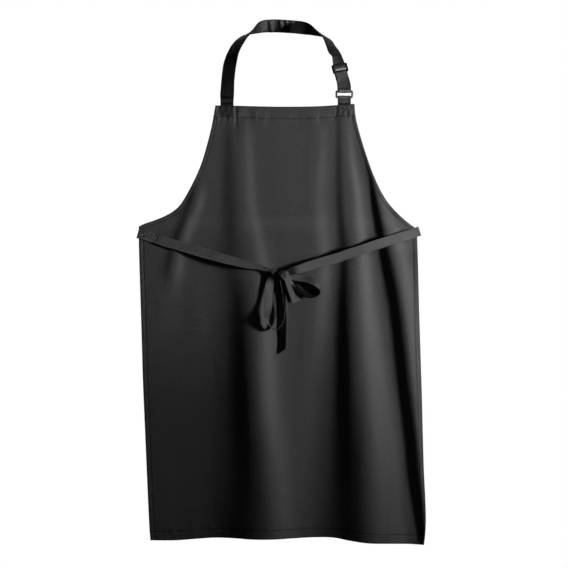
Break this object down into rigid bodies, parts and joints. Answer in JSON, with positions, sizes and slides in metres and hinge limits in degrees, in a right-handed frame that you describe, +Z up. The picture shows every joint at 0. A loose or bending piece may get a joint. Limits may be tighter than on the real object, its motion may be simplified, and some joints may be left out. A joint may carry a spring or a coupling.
{
  "type": "bib apron",
  "caption": "Black cloth bib apron with an adjustable neck strap on a ring and slider, turned hems, and waist tapes tied in a front bow; neck loop, ties and bow parts move.",
  "frame": {"origin": "the point where the neck loop rests on a peg: under the lower edge of the strap, at the middle of the back of the neck", "axes": "+Z up, the apron's front faces -Y, +X to the right of someone looking at the front"},
  "size_m": [0.5707, 0.1335, 1.0402],
  "materials": {
    "black_cloth": "matte twill",
    "black_webbing": "matte folded cloth strap",
    "black_twill_tape": "twill tape",
    "black_thread": "sewing thread",
    "black_plastic": "satin moulded"
  },
  "bodies": {
    "apron_body": {"main_panel": "black_cloth", "top_hem": "black_cloth", "armhole_hem_left": "black_cloth", "armhole_hem_right": "black_cloth", "side_hem_left": "black_cloth", "side_hem_right": "black_cloth", "bottom_hem": "black_cloth", "top_hem_seam": "black_thread", "armhole_seams": "black_thread", "side_seams": "black_thread", "bottom_hem_seam": "black_thread", "neck_strap_sewn_end": "black_webbing", "ring_tab_sewn_end": "black_webbing", "neck_strap_box_stitch": "black_thread", "ring_tab_box_stitch": "black_thread", "tie_left_sewn_end": "black_twill_tape", "tie_right_sewn_end": "black_twill_tape", "tie_left_bar_tack": "black_thread", "tie_right_bar_tack": "black_thread"},
    "neck_loop": {"neck_strap": "black_webbing", "neck_strap_return": "black_webbing", "ring_tab_loop": "black_webbing"},
    "ring_link": {"strap_ring": "black_plastic", "neck_strap_ring_fold": "black_webbing"},
    "slider_block": {"strap_slider": "black_plastic", "strap_end_loop": "black_webbing", "strap_end_stitching": "black_thread"},
    "left_tie": {"tie_left": "black_twill_tape", "bow_knot": "black_twill_tape"},
    "right_tie": {"tie_right": "black_twill_tape"},
    "left_bow_loop": {"bow_loop_left": "black_twill_tape"},
    "right_bow_loop": {"bow_loop_right": "black_twill_tape"},
    "long_tail": {"bow_tail_long": "black_twill_tape", "bow_tail_long_hem": "black_twill_tape", "bow_tail_long_seam": "black_thread"},
    "short_tail": {"bow_tail_short": "black_twill_tape", "bow_tail_short_hem": "black_twill_tape", "bow_tail_short_seam": "black_thread"}
  },
  "joints": [
    {"name": "neck_loop_fold", "type": "hinge", "parent": "apron_body", "child": "neck_loop", "pos_m": [0.008, -0.09, -0.134], "axis": [1, 0, 0], "range_deg": [-75, 125]},
    {"name": "strap_ring_tilt", "type": "hinge", "parent": "neck_loop", "child": "ring_link", "pos_m": [0.1254, -0.08741, -0.1258], "axis": [1, 0, 0], "range_deg": [-20, 20]},
    {"name": "strap_slider_travel", "type": "slide", "parent": "neck_loop", "child": "slider_block", "axis": [-0.2469, 0.2245, 0.9427], "range_m": [-0.006, 0.014]},
    {"name": "left_tie_lift", "type": "hinge", "parent": "apron_body", "child": "left_tie", "pos_m": [0.008, -0.095, -0.3865], "axis": [-1, 0, 0], "range_deg": [0, 135]},
    {"name": "right_tie_lift", "type": "hinge", "parent": "apron_body", "child": "right_tie", "pos_m": [0.008, -0.095, -0.3865], "axis": [-1, 0, 0], "range_deg": [0, 135]},
    {"name": "left_bow_loop_sag", "type": "hinge", "parent": "left_tie", "child": "left_bow_loop", "pos_m": [0.002, -0.114, -0.4765], "axis": [0, 1, 0], "range_deg": [0, 30]},
    {"name": "right_bow_loop_sag", "type": "hinge", "parent": "left_tie", "child": "right_bow_loop", "pos_m": [0.002, -0.114, -0.4765], "axis": [0, 1, 0], "range_deg": [0, 12]},
    {"name": "long_tail_swing", "type": "hinge", "parent": "left_tie", "child": "long_tail", "pos_m": [0.002, -0.114, -0.4765], "axis": [0, 1, 0], "range_deg": [-10, 8]},
    {"name": "short_tail_swing", "type": "hinge", "parent": "left_tie", "child": "short_tail", "pos_m": [0.002, -0.114, -0.4765], "axis": [0, 1, 0], "range_deg": [-12, 6]}
  ],
  "couplings": [
    {"joint": "right_tie_lift", "follows": "left_tie_lift", "ratio": 1}
  ]
}
